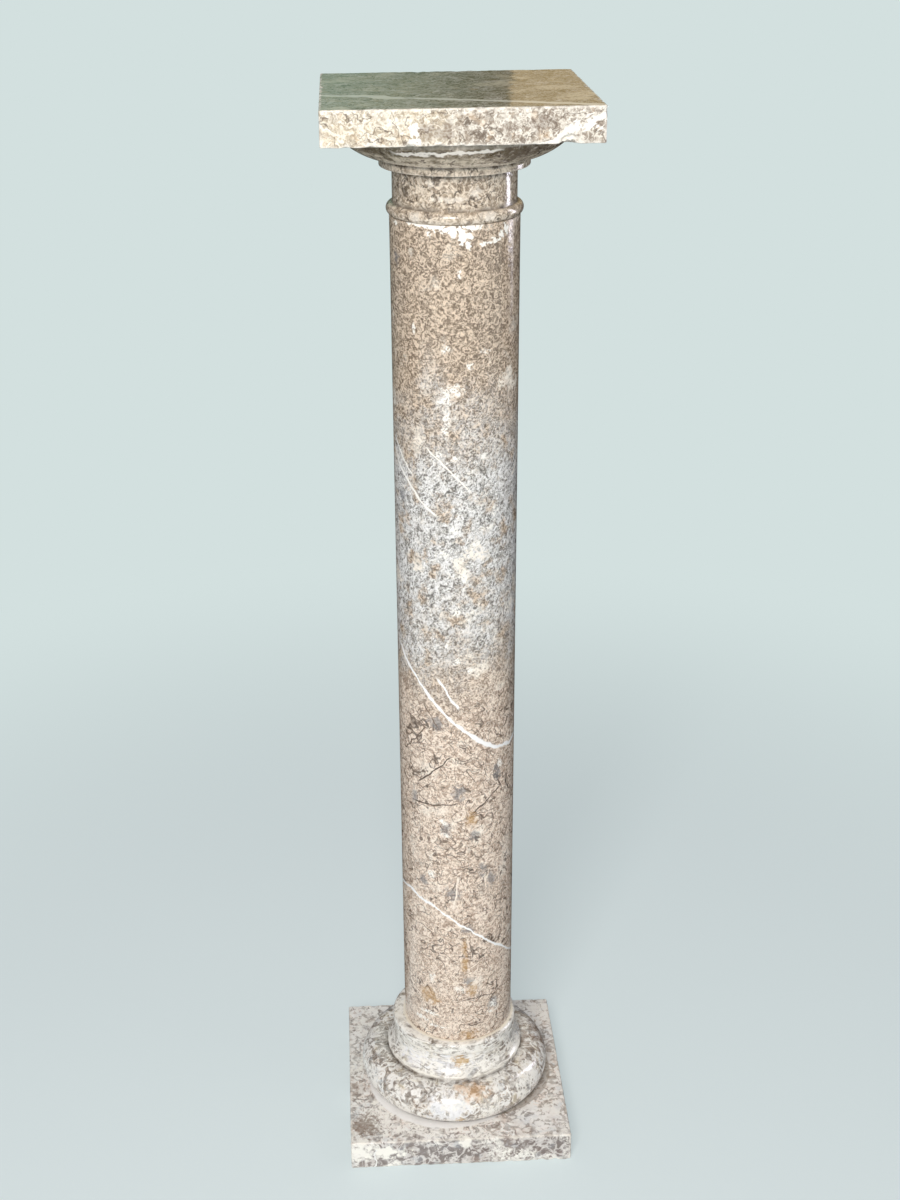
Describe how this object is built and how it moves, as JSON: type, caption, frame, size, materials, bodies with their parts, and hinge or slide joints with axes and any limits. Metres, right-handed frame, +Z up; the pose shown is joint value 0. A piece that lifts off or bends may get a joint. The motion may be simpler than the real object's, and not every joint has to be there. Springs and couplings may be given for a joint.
{
  "type": "doric column",
  "caption": "Free-standing stone column with a square plinth, turned base, plain round shaft, turned capital and square abacus.",
  "frame": {"origin": "middle of the plinth's underside, on the floor", "axes": "+Z up along the column, +X to the right and -Y towards someone facing its front"},
  "size_m": [0.229, 0.225, 1.05],
  "materials": {
    "plinth_marble": "polished grey-mauve marble with coarse pale speckle, worn at the arrises",
    "base_marble": "polished grey and cream brecciated marble with a few rust stains",
    "shaft_marble": "polished brown-beige brecciated marble with white veins and hairline cracks",
    "capital_marble": "polished warm beige marble with fine speckle and a few white veins",
    "abacus_marble": "cream marble, polished on top and honed at the edges"
  },
  "bodies": {
    "root": {"plinth": "plinth_marble", "base": "base_marble", "shaft": "shaft_marble", "capital": "capital_marble", "abacus": "abacus_marble"}
  },
  "joints": []
}
